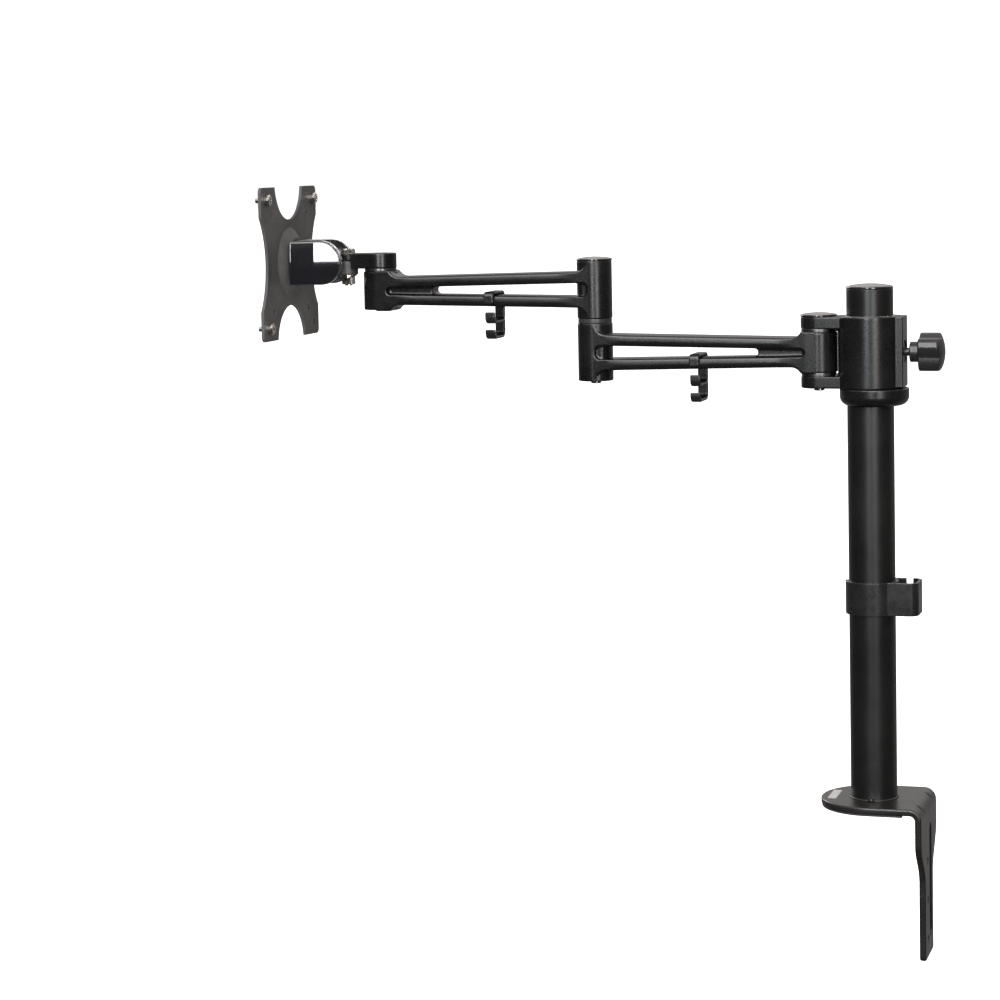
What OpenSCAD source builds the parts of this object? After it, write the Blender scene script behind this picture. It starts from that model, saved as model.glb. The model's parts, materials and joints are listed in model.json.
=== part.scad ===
// Desk-mounted monitor arm: a bent steel bracket carries a pole, a sleeve turns on the
// pole, two equal links fold out from it, and a tilt head holds a VESA mounting plate.
// Frame: +Z up, origin on the pole axis at the desk surface. The arm reaches along -Y
// and the bracket's leg hangs over the desk edge on the +Y side. Millimetres.

/* [Desk bracket] */
// Width of the bracket plate and of the top of its leg
bracket_w = 80; // [70:1:90]
// Steel thickness of the bracket
plate_t = 5; // [4:0.5:6]
// Thickness of the protective pad under the plate
pad_t = 1.5; // [1:0.5:2]
// Outer face of the leg, from the pole axis
leg_y = 41.5; // [40:0.5:46]
// How far the leg hangs below the desk surface
leg_drop = 114; // [105:1:130]
// Width of the lower part of the leg
leg_tip_w = 40; // [36:1:50]

/* [Pole] */
// Outer diameter of the pole
pole_d = 35; // [35:1:35]
// Wall of the pole
pole_wall = 2.5; // [2:0.5:3]
// Height of the pole's top end above the desk
pole_top = 392.5; // [388:0.5:420]
// Height of the underside of the pole's cable clip
clip_z = 147.5; // [100:0.5:147.5]

/* [Sleeve and collar] */
// Height of the middle of the sleeve and of the inner link
arm_z = 345; // [340:0.5:346]
// Height of the sleeve
sleeve_h = 54; // [53:0.5:57]
// Outer radius of the sleeve
sleeve_r = 24; // [23.5:0.5:24]
// Height of the support collar under the sleeve
collar_h = 13; // [11:0.5:14]
// Distance of the clevis pivot from the pole axis
clevis_y = 38.75; // [38.75:0.25:41]

/* [Links] */
// Pivot to pivot length of each link
link_len = 174; // [160:1:200]
// Diameter of the pivot columns and knuckles
column_d = 27; // [26:0.5:27]
// Height of the knuckle at the narrow end of a link
knuckle_h = 30; // [29:0.5:31]
// Height of the column at the wide end of a link
column_h = 44.5; // [43:0.5:46]
// Thickness of the washer between the two columns
mid_washer_t = 3.75; // [3:0.25:4]
// Overall height of the bars beside the column
bar_h_wide = 28; // [26:0.5:29]
// Overall height of the bars beside the knuckle
bar_h_narrow = 21.5; // [20:0.5:23]
// Height of the window between the bars beside the column
slot_h_wide = 10; // [9:0.5:11]
// Height of the window at its far end
slot_h_narrow = 6; // [5:0.5:7]
// Distance of each cable clip from the middle pivot
bar_clip_y = 81; // [75:1:95]

/* [Head] */
// End pivot to vertical swivel bolt
tongue_len = 27; // [26:0.5:28]
// Vertical swivel bolt to the tilt axis
lug_len = 18; // [17.5:0.25:19]
// Height of the tongue's ring
tongue_t = 12; // [12:0.5:13]
// Radius of the round ends of the tilt yoke
yoke_r = 17.5; // [16:0.5:18]
// Half the outer width of the tilt yoke over its covers
yoke_x = 18; // [17.5:0.5:19]
// Tilt axis to the arm side of the mounting plate
head_depth = 30.75; // [30:0.25:34]

/* [Mounting plate] */
// Outer size of the square mounting plate
vesa_w = 120; // [116:1:122]
// Thickness of the mounting plate
vesa_t = 2.5; // [2:0.5:3]
// Radius of the screw holes
vesa_hole_r = 2.3; // [2.2:0.1:2.6]

/* [Hidden] */
$fn = 64;
eps = 0.01;
run = 0.05;                       // radial running clearance of every turning fit
pole_r = pole_d / 2;
plate_top = pad_t + plate_t;
bend_r = 9;                       // outer radius of the bracket's bend
column_r = column_d / 2;
sleeve_z = arm_z - sleeve_h / 2;
collar_z = sleeve_z - collar_h;
ear_gap = knuckle_h + 6;          // room for the knuckle and a washer on each side
ear_t = (sleeve_h - ear_gap) / 2;
mid_y = -clevis_y - link_len;
end_y = mid_y - link_len;
outer_z = arm_z + column_h + mid_washer_t;
end_top = outer_z + knuckle_h / 2;
end_washer_t = 2.5;
tongue_z = end_top + end_washer_t;
tongue_mid = tongue_z + tongue_t / 2;
swivel_y = end_y - tongue_len;
tilt_y = swivel_y - lug_len;
tilt_z = tongue_mid - 0.75;
plate_y = tilt_y - head_depth;    // arm side of the mounting plate
pivot_r = 4;                      // M8 pivot bolts
bush_r = 5.5;                     // outer radius of the nylon bushes
hex_flat = 13;                    // across flats of the M8 nuts
head_room = 5.6;                  // depth of the outer column's pocket for the bolt head
nut_room = 4;                     // depth of the outer knuckle's pocket for the nut
dish_h = 6;                       // how far the plate's centre is raised
disc_t = 2;                       // friction disc between plate and yoke
yoke_y = plate_y + dish_h + disc_t;
knob_y = 30.2;                    // inner end of the knob's hub
collar_shift = 3;                 // the collar is thicker under the sleeve's boss
collar_screw_z = collar_z + 8;
lug_gap_z = tongue_mid + 0.2;     // underside of the tongue's upper lug
block_h = 11;                     // height of the tilt block's lug
block_low = lug_gap_z - 0.1 - block_h;
yoke_inner = 12;                  // half the gap between the yoke's legs
yoke_leg_t = 3;
window_start = 7;                 // straight edges of the link's window begin here
window_end = link_len - 48;

// ---------- shapes used more than once ----------

// Extrudes a Y-Z outline along X, centred on X = 0.
module along_x(w) {
    translate([-w / 2, 0, 0]) rotate([90, 0, 90]) linear_extrude(w) children();
}

// Extrudes an X-Z outline from y_low to y_high.
module along_y(y_low, y_high) {
    translate([0, y_high, 0]) rotate([90, 0, 0]) linear_extrude(y_high - y_low) children();
}

// A cylinder whose axis is parallel to Y.
module rod_y(r, y_low, y_high) {
    translate([0, y_high, 0]) rotate([90, 0, 0]) cylinder(r = r, h = y_high - y_low);
}

// A cylinder whose axis is parallel to X.
module rod_x(r, x_low, x_high) {
    translate([x_low, 0, 0]) rotate([0, 90, 0]) cylinder(r = r, h = x_high - x_low);
}

module tube(r_out, r_in, h) {
    difference() {
        cylinder(r = r_out, h = h);
        translate([0, 0, -1]) cylinder(r = r_in, h = h + 2);
    }
}

// A disc of height rim standing on Z = 0, with a shallow spherical top h high.
module dome(r, rim, h) {
    big = (r * r + h * h) / (2 * h);
    intersection() {
        translate([0, 0, rim + h - big]) sphere(r = big, $fn = 128);
        cylinder(r = r, h = rim + h + 1);
    }
}

module hexagon(flat, h) {
    cylinder(d = flat / cos(30), h = h, $fn = 6);
}

// A hexagonal nut with chamfered corners.
module hex_nut(flat, r_in, h) {
    difference() {
        intersection() {
            hexagon(flat, h);
            union() {
                cylinder(r1 = flat / 2, r2 = flat / 2 + h / 2, h = h / 2);
                translate([0, 0, h / 2])
                    cylinder(r1 = flat / 2 + h / 2, r2 = flat / 2, h = h / 2);
            }
        }
        translate([0, 0, -1]) cylinder(r = r_in, h = h + 2);
    }
}

// A headed pivot bolt pointing down from Z = 0, with a hexagon socket in its head.
module socket_bolt(r, length, head_r, head_h) {
    difference() {
        union() {
            cylinder(r = head_r, h = head_h);
            translate([0, 0, -length]) cylinder(r = r, h = length + eps);
            translate([0, 0, -length - 0.6]) cylinder(r1 = r - 0.6, r2 = r, h = 0.6 + eps);
        }
        translate([0, 0, head_h / 3]) hexagon(r * 1.25, head_h);
    }
}

// Two flanged bushes, one from each end of a bore of the given height.
module bush_pair(h, depth) {
    for (side = [0, 1]) {
        translate([0, 0, side * h]) mirror([0, 0, side]) tube(bush_r, pivot_r + run, depth);
    }
}

// ---------- desk bracket and pole ----------

// Smooth narrowing of the leg: half its width at height z.
function leg_half(z) = let (t = max(0, min(1, (-20 - z) / 34)))
    bracket_w / 2 - (bracket_w - leg_tip_w) / 4 * (1 - cos(180 * t));

module leg_outline() {
    chamfer = 3;
    steps = 12;
    z_top = plate_top - bend_r;
    levels = [for (i = [0:steps]) -20 - 34 * i / steps];
    tip = [[leg_tip_w / 2, chamfer - leg_drop], [leg_tip_w / 2 - chamfer, -leg_drop]];
    right = concat([[bracket_w / 2, z_top]], [for (z = levels) [leg_half(z), z]], tip);
    left = [for (i = [len(right) - 1:-1:0]) [-right[i][0], right[i][1]]];
    polygon(concat(right, left));
}

// Plan of the plate: a half round end and straight sides up to y_end.
module plate_outline(inset, y_end) {
    half = bracket_w / 2 - inset;
    intersection() {
        circle(r = half, $fn = 96);
        translate([-half - 1, -half - 1]) square([2 * half + 2, half + 1]);
    }
    translate([-half, 0]) square([2 * half, y_end]);
}

module leg_slot() {
    slot_x = -6.5;
    slot_r = 5;
    z_low = -96;
    z_high = -18.5;
    for (z = [z_low, z_high]) translate([slot_x, 0, z]) rod_y(slot_r, leg_y - 10, leg_y + 5);
    translate([slot_x - slot_r, leg_y - 10, z_low]) cube([2 * slot_r, 15, z_high - z_low]);
}

module desk_bracket() {
    bend_y = leg_y - bend_r;
    bend_z = plate_top - bend_r;
    hole_x = 8;
    dimple_x = 22;
    color("#232325") difference() {
        union() {
            translate([0, 0, pad_t]) linear_extrude(plate_t) plate_outline(0, bend_y);
            along_x(bracket_w) translate([bend_y, bend_z]) intersection() {
                difference() {
                    circle(r = bend_r);
                    circle(r = bend_r - plate_t);
                }
                square(bend_r);
            }
            along_y(leg_y - plate_t, leg_y) leg_outline();
        }
        leg_slot();
        for (z = [-39.5, -69.5, -99.5]) translate([hole_x, 0, z]) rod_y(2.75, leg_y - 8, leg_y + 3);
        for (side = [-1, 1]) translate([side * dimple_x, bend_y + 8, bend_z + 8])
            rotate([45, 0, 0]) cylinder(r = 3, h = 20, center = true);
    }
}

module desk_pad() {
    color("#1b1b1c") linear_extrude(pad_t) plate_outline(0.6, 27);
}

module pole() {
    color("#1f1f21") translate([0, 0, plate_top])
        tube(pole_r, pole_r - pole_wall, pole_top - plate_top);
}

module pole_cap() {
    color("#141416") union() {
        translate([0, 0, pole_top]) dome(pole_r, 1.8, 2);
        translate([0, 0, pole_top - 12]) tube(pole_r - pole_wall, pole_r - pole_wall - 2, 12);
    }
}

module pole_weld() {
    bead = 2;
    color("#1f1f21") translate([0, 0, plate_top]) union() {
        rotate_extrude() polygon([[pole_r, 0], [pole_r + bead, 0], [pole_r, bead]]);
        intersection() {
            translate([pole_r + 0.4, 0.7, 2.2]) sphere(r = 2.4);
            difference() {
                cylinder(r = pole_r + 5, h = 8);
                translate([0, 0, -1]) cylinder(r = pole_r, h = 10);
            }
        }
    }
}

module rating_label() {
    color("#b9bbbe") translate([-14, -33.4, plate_top]) cube([27, 6.5, 0.2]);
}

module rounded_outline(x, y_low, y_high, r) {
    for (sx = [-1, 1]) translate([sx * (x - r), y_high - r]) circle(r = r);
    translate([r - x, y_low]) square([2 * (x - r), y_high - y_low]);
    translate([-x, y_low]) square([2 * x, y_high - y_low - r]);
}

module pole_cable_clip() {
    h = 25;
    wall = 2.5;
    loop_x = 14.5;
    loop_y = pole_r + 19;
    color("#1a1a1b") translate([0, 0, clip_z]) linear_extrude(h) difference() {
        union() {
            circle(r = pole_r + run + wall);
            difference() {
                rounded_outline(loop_x, 8, loop_y, 7);
                rounded_outline(loop_x - wall, 8, loop_y - wall, 7 - wall);
            }
        }
        circle(r = pole_r + run);
        polygon([[0, 0], [-34, -14], [-26, -40], [0, -40]]);
        translate([-loop_x - 1, 24]) square([wall + 2, 5]);
    }
}

// ---------- collar, sleeve and clamp knob ----------

module support_collar() {
    r_top = 25.9;
    r_low = 22;
    round_h = 7.5;
    steps = 8;
    side = [for (i = [0:steps]) let (a = 90 * i / steps)
        [r_low + (r_top - r_low) * sin(a), round_h * (1 - cos(a))]];
    color("#1f1f21") translate([0, 0, collar_z]) difference() {
        translate([0, collar_shift, 0]) rotate_extrude($fn = 96)
            polygon(concat([[0, 0]], side, [[r_top, collar_h - run], [0, collar_h - run]]));
        translate([0, 0, -1]) cylinder(r = pole_r + run, h = collar_h + 2);
        translate([0, 0, collar_screw_z - collar_z]) rod_x(3, -30, 0);
    }
}

module collar_screw() {
    color("#2c2c2e") translate([0, 0, collar_screw_z]) difference() {
        rod_x(3, -pole_r - 6.5, -pole_r - 0.1);
        translate([-pole_r - 4, 0, 0]) rotate([0, -90, 0]) hexagon(3, 5);
    }
}

// Plan of the sleeve with the boss for the clamp screw on its far side.
module sleeve_outline() {
    circle(r = sleeve_r, $fn = 96);
    polygon([[12, 5], [12, 25.7], [11, 26.3], [-11, 26.3], [-12, 25.7], [-12, 5]]);
}

// Plan of an ear: parallel sides and a round end on the pivot.
module ear_outline() {
    translate([0, -clevis_y]) circle(r = column_r);
    translate([-column_r, -clevis_y]) square([2 * column_r, clevis_y]);
}

module pole_sleeve() {
    boss_gap = 0.8;               // the boss ends a little above the collar
    color("#1f1f21") difference() {
        translate([0, 0, sleeve_z]) linear_extrude(sleeve_h) {
            sleeve_outline();
            ear_outline();
        }
        translate([0, 0, sleeve_z - 1]) cylinder(r = pole_r + 1, h = sleeve_h + 2);
        translate([-16, sleeve_r, sleeve_z - 1]) cube([32, 4, boss_gap + 1]);
        // Room for the knuckle between the ears
        difference() {
            translate([-30, -60, sleeve_z + ear_t]) cube([60, 60, ear_gap]);
            translate([0, 0, sleeve_z]) cylinder(r = sleeve_r - 0.1, h = sleeve_h, $fn = 96);
        }
        // Pivot bolt: head under the cap in the top ear, nut let into the bottom ear
        translate([0, -clevis_y, sleeve_z - 1]) cylinder(r = pivot_r, h = sleeve_h);
        translate([0, -clevis_y, sleeve_z + sleeve_h - 5.5]) cylinder(r = 7.2, h = 7);
        translate([0, -clevis_y, sleeve_z - 1]) hexagon(hex_flat + 0.2, 6.5);
        // Clamp screw
        translate([0, 0, arm_z]) rod_y(3 + run, 0, 30);
        translate([0, 0, arm_z]) rod_y(8.8, 25.3, 30);
    }
}

module sleeve_liner() {
    color("#d9d9d6") translate([0, 0, sleeve_z]) difference() {
        tube(pole_r + 1, pole_r + run, sleeve_h);
        translate([0, 0, arm_z - sleeve_z]) rod_y(3 + run, 0, 30);
    }
}

module clevis_bolt() {
    color("#8f9093") translate([0, -clevis_y, sleeve_z + sleeve_h - 5.5])
        socket_bolt(pivot_r, sleeve_h - 5.5 + 1.6, 6.5, 4.5);
}

module clevis_nut() {
    color("#a9abae") translate([0, -clevis_y, sleeve_z]) hex_nut(hex_flat, pivot_r, 5.5);
}

module pivot_cap(plug_r) {
    color("#121214") union() {
        dome(column_r + 0.4, 1.4, 1.4);
        translate([0, 0, -0.9]) cylinder(r = plug_r, h = 1);
    }
}

module clevis_cap() {
    translate([0, -clevis_y, sleeve_z + sleeve_h]) pivot_cap(7.1);
}

module brake_pad() {
    color("#26262a") translate([0, 0, arm_z]) difference() {
        rod_y(2.9, 0, pole_r + 2.2);
        translate([0, 0, -10]) cylinder(r = pole_r + 0.12, h = 20, $fn = 96);
    }
}

module knob_screw() {
    color("#2a2b2d") translate([0, 0, arm_z]) rod_y(3, pole_r + 2.2 + run, knob_y + 14);
}

module lock_knob() {
    head_y = knob_y + 6.9;
    head_t = 14.6;
    lobe_r = 6.6;
    color("#17171a") translate([0, 0, arm_z]) difference() {
        union() {
            rod_y(7.7, knob_y, head_y + 1);
            intersection() {
                along_y(head_y, head_y + head_t + 4.4) rotate([0, 0, 17]) {
                    circle(r = 12.6);
                    for (a = [45:90:315]) rotate([0, 0, a]) translate([8.6, 0])
                        circle(r = lobe_r);
                }
                translate([0, head_y + head_t + 4.4 - 31, 0]) sphere(r = 31, $fn = 128);
            }
        }
        rod_y(3, knob_y - 1, knob_y + 14);
    }
}

// ---------- links ----------

// Side outline of the bars, from the column at Y = 0 to the knuckle at Y = link_len,
// with concave corners where they run into the column and the knuckle.
module bar_outline() {
    r_wide = 8.5;
    r_narrow = 6.5;
    y_wide = 3.5;
    y_narrow = link_len - 2.5;
    slope = (bar_h_wide - bar_h_narrow) / 2 / link_len;
    for (s = [0, 1]) mirror([0, s]) difference() {
        polygon([[0, 0], [0, column_h / 2], [y_wide + r_wide, column_h / 2],
            [y_wide + r_wide, bar_h_wide / 2 - slope * (y_wide + r_wide)],
            [y_narrow - r_narrow, bar_h_narrow / 2 + slope * (link_len - y_narrow + r_narrow)],
            [y_narrow - r_narrow, knuckle_h / 2], [link_len, knuckle_h / 2], [link_len, 0]]);
        translate([y_wide + r_wide, bar_h_wide / 2 - slope * y_wide + r_wide - 0.4])
            circle(r = r_wide);
        translate([y_wide, bar_h_wide / 2 + r_wide - 0.6])
            square([2 * r_wide, column_h]);
        translate([y_narrow - r_narrow, bar_h_narrow / 2 + r_narrow + 0.1])
            circle(r = r_narrow);
        translate([y_narrow - 2 * r_narrow, bar_h_narrow / 2 + r_narrow])
            square([2 * r_narrow, column_h]);
    }
}

// Window between the bars, from the column towards the knuckle.
module window_outline(y_end, h_end) {
    corner = 4;
    half = slot_h_wide / 2;
    for (s = [-1, 1]) translate([window_start, s * (half - corner)]) circle(r = corner);
    translate([window_start - corner, corner - half]) square([corner, 2 * (half - corner)]);
    polygon([[window_start, -half], [y_end, -h_end / 2], [y_end, h_end / 2],
        [window_start, half]]);
    translate([y_end, 0]) circle(r = h_end / 2);
}

// The link casting with its column on the origin and its knuckle at Y = link_len.
module link_body(column_bore) {
    pocket_depth = 6;
    pocket_end = link_len - 11;
    difference() {
        union() {
            difference() {
                along_x(column_d) bar_outline();
                along_x(column_d + 2) window_outline(window_end, slot_h_narrow);
                for (s = [-1, 1]) translate([s * (column_r - pocket_depth / 2), 0, 0])
                    along_x(pocket_depth + eps) window_outline(pocket_end, 5.2);
            }
            translate([0, 0, -column_h / 2]) cylinder(r = column_r, h = column_h);
            translate([0, link_len, -knuckle_h / 2]) cylinder(r = column_r, h = knuckle_h);
        }
        translate([0, 0, -column_h]) cylinder(r = column_bore, h = 2 * column_h);
        translate([0, link_len, -column_h]) cylinder(r = bush_r, h = 2 * column_h);
        children();
    }
}

module inner_link() {
    color("#202022") translate([0, mid_y, arm_z]) link_body(pivot_r) {
        translate([0, 0, -column_h / 2 - 1]) hexagon(hex_flat + 0.2, 7.5);
    }
}

module inner_bushes() {
    color("#d9d9d6") translate([0, -clevis_y, arm_z - knuckle_h / 2])
        bush_pair(knuckle_h, 12);
}

module clevis_washers() {
    washer_t = (ear_gap - knuckle_h) / 2 - run;
    color("#9fa1a4") for (z = [arm_z - ear_gap / 2, arm_z + ear_gap / 2 - washer_t])
        translate([0, -clevis_y, z]) tube(column_r - 0.4, pivot_r, washer_t);
}

module middle_bolt() {
    head_z = outer_z + column_h / 2 - 5.5;
    color("#8f9093") translate([0, mid_y, head_z])
        socket_bolt(pivot_r, head_z - arm_z + column_h / 2 + 1.6, 6.5, 4.5);
}

module middle_nut() {
    color("#a9abae") translate([0, mid_y, arm_z - column_h / 2]) hex_nut(hex_flat, pivot_r, 6.4);
}

module middle_washer() {
    color("#3a3a3d") translate([0, mid_y, arm_z + column_h / 2])
        tube(column_r - 0.5, pivot_r, mid_washer_t - run);
}

module outer_link() {
    color("#202022") translate([0, mid_y, outer_z]) mirror([0, 1, 0]) link_body(bush_r) {
        translate([0, 0, column_h / 2 - head_room]) cylinder(r = 7.2, h = 7);
        translate([0, link_len, -knuckle_h / 2 - 1]) cylinder(r = 8, h = nut_room + 1);
    }
}

module middle_cap() {
    translate([0, mid_y, outer_z + column_h / 2]) pivot_cap(7.1);
}

module middle_bushes() {
    color("#d9d9d6") translate([0, mid_y, outer_z - column_h / 2])
        bush_pair(column_h - head_room, 12);
}

module end_bushes() {
    color("#d9d9d6") translate([0, end_y, outer_z - knuckle_h / 2 + nut_room])
        bush_pair(knuckle_h - nut_room, 11);
}

// ---------- tilt head ----------

module end_washer() {
    color("#9fa1a4") translate([0, end_y, end_top + run])
        tube(column_r - 1, pivot_r, end_washer_t - run);
}

module tongue() {
    ring_r = column_r - 0.8;
    lug_r = 7.8;
    a = acos((ring_r - lug_r) / tongue_len);
    p = [for (s = [-1, 1]) [s * sin(a), -cos(a)]];
    color("#262628") difference() {
        translate([0, end_y, tongue_z]) linear_extrude(tongue_t) {
            circle(r = ring_r);
            translate([0, -tongue_len]) circle(r = lug_r);
            polygon([p[0] * ring_r, p[0] * lug_r - [0, tongue_len],
                p[1] * lug_r - [0, tongue_len], p[1] * ring_r]);
        }
        // Step that leaves only the upper half over the tilt block
        translate([0, swivel_y, tongue_z - 1]) cylinder(r = 9.4, h = lug_gap_z - tongue_z + 1);
        translate([-15, swivel_y - 15, tongue_z - 1]) cube([30, 15, lug_gap_z - tongue_z + 1]);
        translate([0, end_y, tongue_z - 1]) cylinder(r = pivot_r, h = tongue_t + 2);
        translate([0, end_y, tongue_z + tongue_t - 5]) cylinder(r = 6.8, h = 6);
        translate([0, swivel_y, tongue_z - 1]) cylinder(r = 3, h = tongue_t + 2);
    }
}

module end_bolt() {
    head_z = tongue_z + tongue_t - 5;
    color("#77787b") translate([0, end_y, head_z])
        socket_bolt(pivot_r, head_z - outer_z + knuckle_h / 2 - 0.7, 6.5, 4.4);
}

module end_nut() {
    color("#a9abae") translate([0, end_y, outer_z - knuckle_h / 2 + 0.3])
        hex_nut(hex_flat, pivot_r, nut_room - 0.4);
}

module swivel_bolt() {
    top = tongue_z + tongue_t;
    color("#c9cbce") translate([0, swivel_y, 0]) union() {
        translate([0, 0, top]) intersection() {
            hexagon(10, 3.6);
            cylinder(r1 = 7, r2 = 5, h = 3.6);
        }
        translate([0, 0, block_low - 8.6]) cylinder(r = 3, h = top - block_low + 8.6);
    }
}

module swivel_nut() {
    color("#d3d5d8") translate([0, swivel_y, block_low - 7.6]) hex_nut(10, 3, 5.6);
}

module swivel_washer() {
    color("#d3d5d8") translate([0, swivel_y, block_low - 2]) union() {
        tube(5.4, 3, 0.9);
        translate([0, 0, 0.95]) tube(6.6, 3, 1);
    }
}

module tilt_block() {
    barrel_r = 9;
    half = 11.8;
    color("#3b3b3e") difference() {
        union() {
            translate([0, tilt_y, tilt_z]) rod_x(barrel_r, -half, half);
            translate([0, swivel_y, block_low]) cylinder(r = 7.8, h = block_h);
            translate([-7.8, tilt_y, block_low]) cube([15.6, lug_len, block_h]);
        }
        translate([0, swivel_y, block_low - 1]) cylinder(r = 3 + run, h = block_h + 2);
        translate([0, tilt_y, tilt_z]) rod_x(3 + run, -half - 1, half + 1);
    }
}

// Round-ended side outline of the yoke and of its covers.
module yoke_side(r) {
    translate([tilt_y, tilt_z]) circle(r = r, $fn = 96);
    translate([yoke_y, tilt_z - r]) square([tilt_y - yoke_y, 2 * r]);
}

// Plan of the yoke: two legs on a rounded base. grow offsets its outside.
module yoke_plan(grow) {
    x = yoke_inner + yoke_leg_t + grow;
    r = 9;
    for (s = [-1, 1]) translate([s * (x - r), yoke_y + r]) circle(r = r);
    translate([r - x, yoke_y]) square([2 * (x - r), 40]);
    translate([-x, yoke_y + r]) square([2 * x, 60]);
}

module yoke_bracket() {
    base_t = 4;
    color("#c4c6ca") difference() {
        intersection() {
            translate([0, 0, tilt_z - 40]) linear_extrude(80) yoke_plan(0);
            along_x(80) yoke_side(yoke_r);
        }
        translate([-yoke_inner, yoke_y + base_t, tilt_z - 40]) cube([2 * yoke_inner, 90, 80]);
        translate([0, tilt_y, tilt_z]) rod_x(3, -30, 30);
        translate([0, 0, tilt_z]) rod_y(4 + run, yoke_y - 5, yoke_y + 8);
    }
}

// Glossy shell over one leg of the yoke, flaring towards the plate.
module yoke_cover() {
    flare = 6;
    flare_y = yoke_y + 19;
    x_in = yoke_inner + yoke_leg_t + run;
    color("#16161b") difference() {
        intersection() {
            translate([0, 0, tilt_z - 40]) linear_extrude(80)
                polygon([[x_in - 6, yoke_y], [yoke_x + flare, yoke_y],
                    [yoke_x + flare, yoke_y + 3], [yoke_x + flare * 0.4, yoke_y + 11],
                    [yoke_x, flare_y], [yoke_x, yoke_y + 60], [x_in - 6, yoke_y + 60]]);
            along_x(80) yoke_side(yoke_r - 0.4);
        }
        translate([0, 0, tilt_z - 40]) linear_extrude(80) yoke_plan(run);
        translate([0, tilt_y, tilt_z]) rod_x(5.8, 0, x_in + 1.9);
    }
}

module yoke_cover_right() {
    yoke_cover();
}

module yoke_cover_left() {
    mirror([1, 0, 0]) yoke_cover();
}

module tilt_bolt() {
    x = yoke_inner + yoke_leg_t;
    color("#8f9093") translate([0, tilt_y, tilt_z]) union() {
        rod_x(3, -x - 1.6, x + eps);
        rod_x(5, x, x + 1.6);
    }
}

module tilt_nut() {
    x = yoke_inner + yoke_leg_t;
    color("#a9abae") translate([-x, tilt_y, tilt_z]) rotate([0, -90, 0])
        difference() {
            hexagon(10, 1.6);
            translate([0, 0, -1]) cylinder(r = 3, h = 4);
        }
}

module friction_disc() {
    color("#19191b") translate([0, 0, tilt_z]) difference() {
        rod_y(18, yoke_y - disc_t, yoke_y - run);
        rod_y(4, yoke_y - 5, yoke_y + 5);
    }
}

// ---------- mounting plate ----------

// Front view of the plate: a square with hollowed sides, scallops above and below.
module vesa_outline() {
    half = vesa_w / 2;
    corner = 4;
    scallop_r = 30;
    side_r = 62;
    side_depth = 12;
    difference() {
        union() {
            for (sx = [-1, 1], sz = [-1, 1])
                translate([sx * (half - corner), sz * (half - corner)]) circle(r = corner);
            square([2 * half, 2 * (half - corner)], center = true);
            square([2 * (half - corner), 2 * half], center = true);
        }
        for (sz = [-1, 1]) translate([0, sz * (half + 4)]) circle(r = scallop_r, $fn = 96);
        for (sx = [-1, 1]) translate([sx * (half + side_r - side_depth), 0])
            circle(r = side_r, $fn = 128);
        for (pitch = [75, 100], sx = [-1, 1], sz = [-1, 1])
            translate([sx * pitch / 2, sz * pitch / 2]) circle(r = vesa_hole_r);
    }
}

module mounting_plate() {
    base_r = 27.5;
    top_r = 19.5;
    color("#2a2a2c") translate([0, plate_y, tilt_z]) rotate([90, 0, 0]) difference() {
        union() {
            linear_extrude(vesa_t) vesa_outline();
            translate([0, 0, -dish_h]) cylinder(r1 = top_r, r2 = base_r, h = dish_h + eps);
        }
        translate([0, 0, vesa_t - dish_h]) cylinder(r1 = top_r - 1, r2 = base_r - 1, h = dish_h + eps);
        translate([0, 0, -dish_h - 1]) cylinder(r = 4, h = 5);
    }
}

module plate_bolt() {
    nut_t = 3.4;
    color("#8f9093") translate([0, 0, tilt_z]) union() {
        rod_y(4, plate_y + dish_h - vesa_t, yoke_y + 4 + nut_t + 1);
        translate([0, plate_y + dish_h - vesa_t, 0]) rotate([90, 0, 0]) hexagon(13, 3);
        translate([0, yoke_y + 4 + run, 0]) rotate([-90, 0, 0]) hexagon(13, nut_t);
    }
}

module plate_screw() {
    difference() {
        union() {
            cylinder(r = 4.5, h = 3.2);
            translate([0, 0, 3.2]) cylinder(r1 = 4.5, r2 = 3.6, h = 0.9);
            translate([0, 0, -8]) cylinder(r = 2, h = 8 + eps);
        }
        for (a = [0, 90]) rotate([0, 0, a]) translate([-2.4, -0.5, 2.2]) cube([4.8, 1, 3]);
    }
}

module plate_screws() {
    color("#d8dadd") for (p = [[-50, 50], [50, 50], [50, -50]])
        translate([p[0], plate_y, tilt_z + p[1]]) rotate([-90, 0, 0]) plate_screw();
}

// ---------- cable clips on the links ----------

// Side view (X-Z) of a clip: a hook over the bar with two open hooks hanging below it.
// The bar's section is centred on the origin and is bar_t high.
module clip_outline(bar_t) {
    wall = 2.2;
    slack = 0.5;
    x = column_r + slack;
    z = bar_t / 2 + slack;
    stem_x = -x - wall;
    lip_x = 10.5;
    difference() {
        translate([stem_x, -z]) square([2 * x + 2 * wall, 2 * z + wall]);
        translate([-x, -z - 1]) square([2 * x, 2 * z + 1]);
        translate([0, -z - 1]) square([2 * x, 4]);
    }
    for (i = [0, 1]) let (low = -z - 13 - 12 * i, lip = i == 0 ? 9 : 7.5) {
        translate([stem_x, low]) square([wall, 14.5]);
        translate([stem_x, low]) square([lip_x + wall - stem_x, wall]);
        translate([lip_x, low]) square([wall, lip]);
    }
}

module bar_clip(dir) {
    // Lower and upper edge of the bar inside the clip, below the link's middle plane
    outer_t = bar_clip_y / link_len;
    inner_t = (bar_clip_y - window_start) / (window_end - window_start);
    outer = bar_h_wide / 2 * (1 - outer_t) + bar_h_narrow / 2 * outer_t;
    inner = slot_h_wide / 2 * (1 - inner_t) + slot_h_narrow / 2 * inner_t;
    w = 8;
    color("#1b1b1d") translate([0, dir * bar_clip_y, -(outer + inner) / 2])
        along_y(-w / 2, w / 2) clip_outline(outer - inner);
}

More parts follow.
